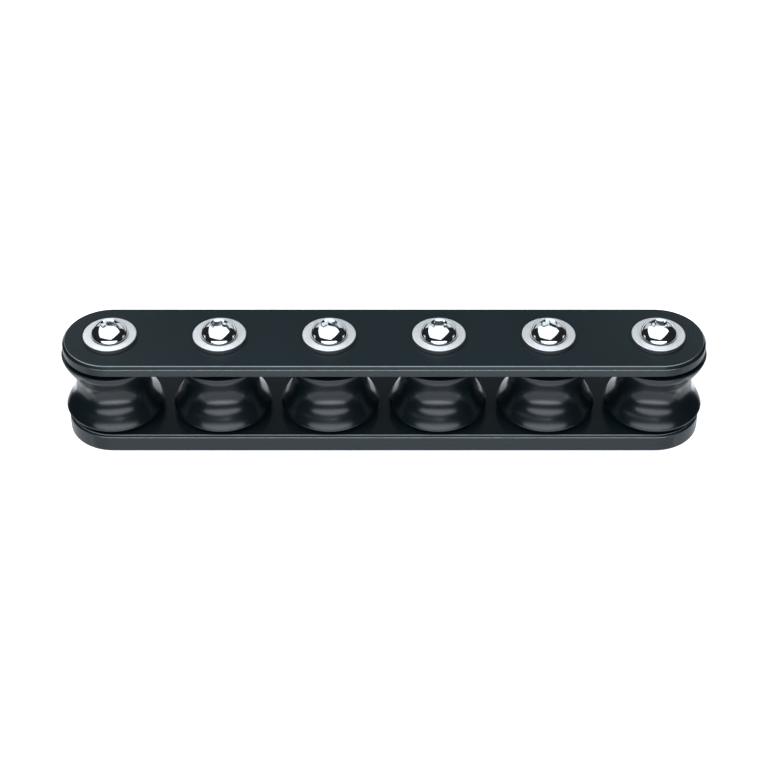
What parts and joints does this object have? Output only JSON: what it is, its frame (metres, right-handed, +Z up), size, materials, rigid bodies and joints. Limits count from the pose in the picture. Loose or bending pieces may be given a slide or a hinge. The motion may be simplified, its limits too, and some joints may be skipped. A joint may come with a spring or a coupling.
{
  "type": "deck organizer",
  "caption": "Row of hourglass sheaves between round-ended plates, each on a fixed post held by a button head screw; leads and turns lines across a deck.",
  "frame": {"origin": "middle of the base plate's underside, where it lies on the deck", "axes": "+X along the row of sheaves, +Y across it towards the far side, +Z up out of the deck"},
  "size_m": [0.2424, 0.0374, 0.0472],
  "materials": {
    "anodised_plate": "black hard-anodised, satin",
    "anodised_sheave": "turned and black hard-anodised, smooth satin",
    "polished_stainless": "polished stainless steel",
    "washer_stainless": "punched and tumbled stainless steel",
    "turned_stainless": "turned stainless steel",
    "bearing_polymer": "plain moulded bearing polymer",
    "black_acetal": "black acetal"
  },
  "bodies": {
    "frame": {"base_plate": "anodised_plate", "top_plate": "anodised_plate", "axle_post_1": "turned_stainless", "lower_thrust_washer_1": "black_acetal", "upper_thrust_washer_1": "black_acetal", "screw_washer_1": "washer_stainless", "cap_screw_1": "polished_stainless", "axle_post_2": "turned_stainless", "lower_thrust_washer_2": "black_acetal", "upper_thrust_washer_2": "black_acetal", "screw_washer_2": "washer_stainless", "cap_screw_2": "polished_stainless", "axle_post_3": "turned_stainless", "lower_thrust_washer_3": "black_acetal", "upper_thrust_washer_3": "black_acetal", "screw_washer_3": "washer_stainless", "cap_screw_3": "polished_stainless", "axle_post_4": "turned_stainless", "lower_thrust_washer_4": "black_acetal", "upper_thrust_washer_4": "black_acetal", "screw_washer_4": "washer_stainless", "cap_screw_4": "polished_stainless", "axle_post_5": "turned_stainless", "lower_thrust_washer_5": "black_acetal", "upper_thrust_washer_5": "black_acetal", "screw_washer_5": "washer_stainless", "cap_screw_5": "polished_stainless", "axle_post_6": "turned_stainless", "lower_thrust_washer_6": "black_acetal", "upper_thrust_washer_6": "black_acetal", "screw_washer_6": "washer_stainless", "cap_screw_6": "polished_stainless"},
    "turning_sheave_1": {"sheave_1": "anodised_sheave", "bearing_bush_1": "bearing_polymer"},
    "turning_sheave_2": {"sheave_2": "anodised_sheave", "bearing_bush_2": "bearing_polymer"},
    "turning_sheave_3": {"sheave_3": "anodised_sheave", "bearing_bush_3": "bearing_polymer"},
    "turning_sheave_4": {"sheave_4": "anodised_sheave", "bearing_bush_4": "bearing_polymer"},
    "turning_sheave_5": {"sheave_5": "anodised_sheave", "bearing_bush_5": "bearing_polymer"},
    "turning_sheave_6": {"sheave_6": "anodised_sheave", "bearing_bush_6": "bearing_polymer"}
  },
  "joints": [
    {"name": "sheave_1_turn", "type": "hinge", "parent": "frame", "child": "turning_sheave_1", "pos_m": [-0.1025, 0, 0.0223], "axis": [0, 0, 1], "continuous": true},
    {"name": "sheave_2_turn", "type": "hinge", "parent": "frame", "child": "turning_sheave_2", "pos_m": [-0.0615, 0, 0.0223], "axis": [0, 0, 1], "continuous": true},
    {"name": "sheave_3_turn", "type": "hinge", "parent": "frame", "child": "turning_sheave_3", "pos_m": [-0.0205, 0, 0.0223], "axis": [0, 0, 1], "continuous": true},
    {"name": "sheave_4_turn", "type": "hinge", "parent": "frame", "child": "turning_sheave_4", "pos_m": [0.0205, 0, 0.0223], "axis": [0, 0, 1], "continuous": true},
    {"name": "sheave_5_turn", "type": "hinge", "parent": "frame", "child": "turning_sheave_5", "pos_m": [0.0615, 0, 0.0223], "axis": [0, 0, 1], "continuous": true},
    {"name": "sheave_6_turn", "type": "hinge", "parent": "frame", "child": "turning_sheave_6", "pos_m": [0.1025, 0, 0.0223], "axis": [0, 0, 1], "continuous": true}
  ]
}
